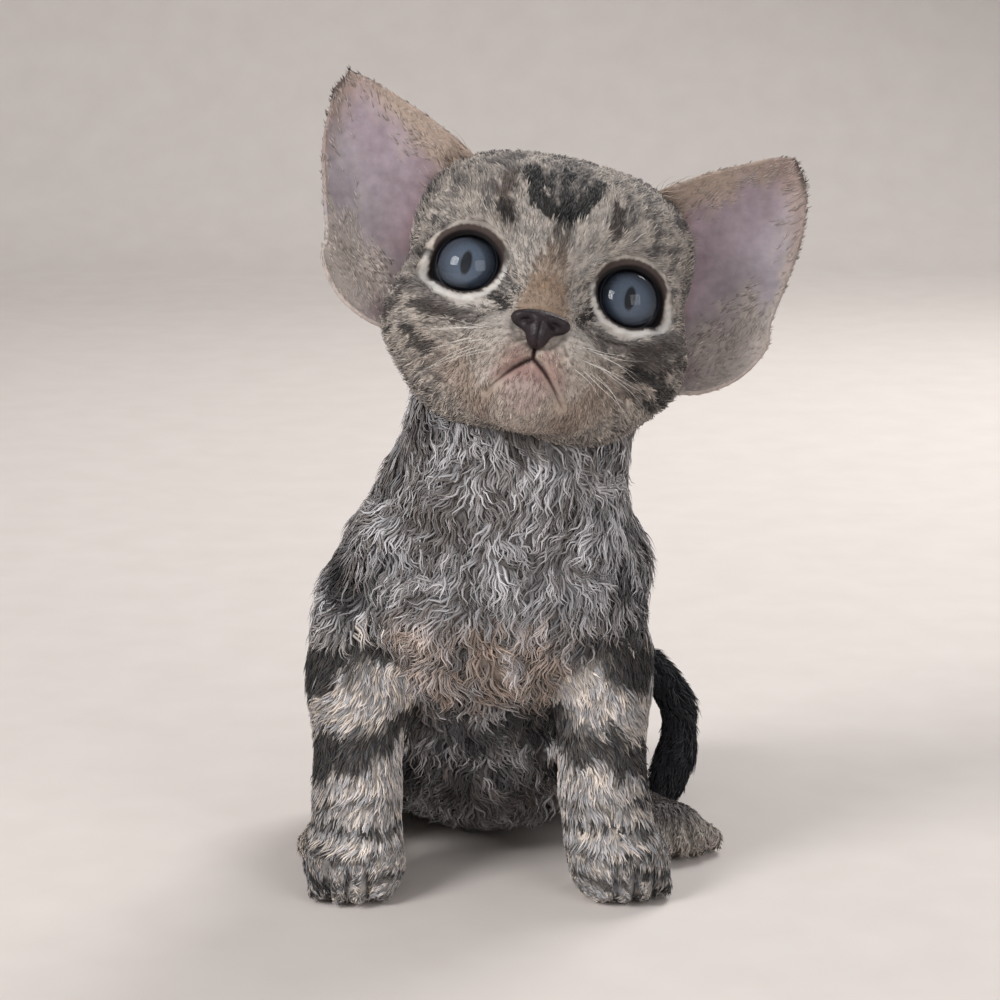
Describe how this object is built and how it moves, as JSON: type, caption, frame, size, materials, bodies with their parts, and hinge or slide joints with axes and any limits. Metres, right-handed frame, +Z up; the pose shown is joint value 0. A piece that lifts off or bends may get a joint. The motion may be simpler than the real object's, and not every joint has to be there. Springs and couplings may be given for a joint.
{
  "type": "kitten",
  "caption": "Life-size still model of a Devon Rex kitten sitting up, head tilted, with large cupped ears, round eyes, a short wavy tabby coat and a tail curled round its side",
  "frame": {"origin": "below the middle of the whole kitten, on the floor it sits on", "axes": "+Z up, -Y the way the chest faces, +X the kitten's own left"},
  "size_m": [0.1048, 0.1106, 0.1639],
  "materials": {
    "coat_face": "short soft fur",
    "coat_silver": "short wavy fur",
    "coat_belly": "short wavy fur",
    "coat_dark": "short wavy fur",
    "ear_skin": "bare skin with down",
    "eye": "wet and shiny",
    "nose_leather": "smooth and slightly damp"
  },
  "bodies": {
    "root": {"head": "coat_face", "nose": "nose_leather", "eye_left": "eye", "ear_left": "ear_skin", "eye_right": "eye", "ear_right": "ear_skin", "neck": "coat_silver", "torso": "coat_belly", "foreleg_left": "coat_silver", "hindleg_left": "coat_belly", "foreleg_right": "coat_silver", "hindleg_right": "coat_belly", "tail_root": "coat_dark", "tail_middle": "coat_dark", "tail_tip": "coat_dark"}
  },
  "joints": []
}
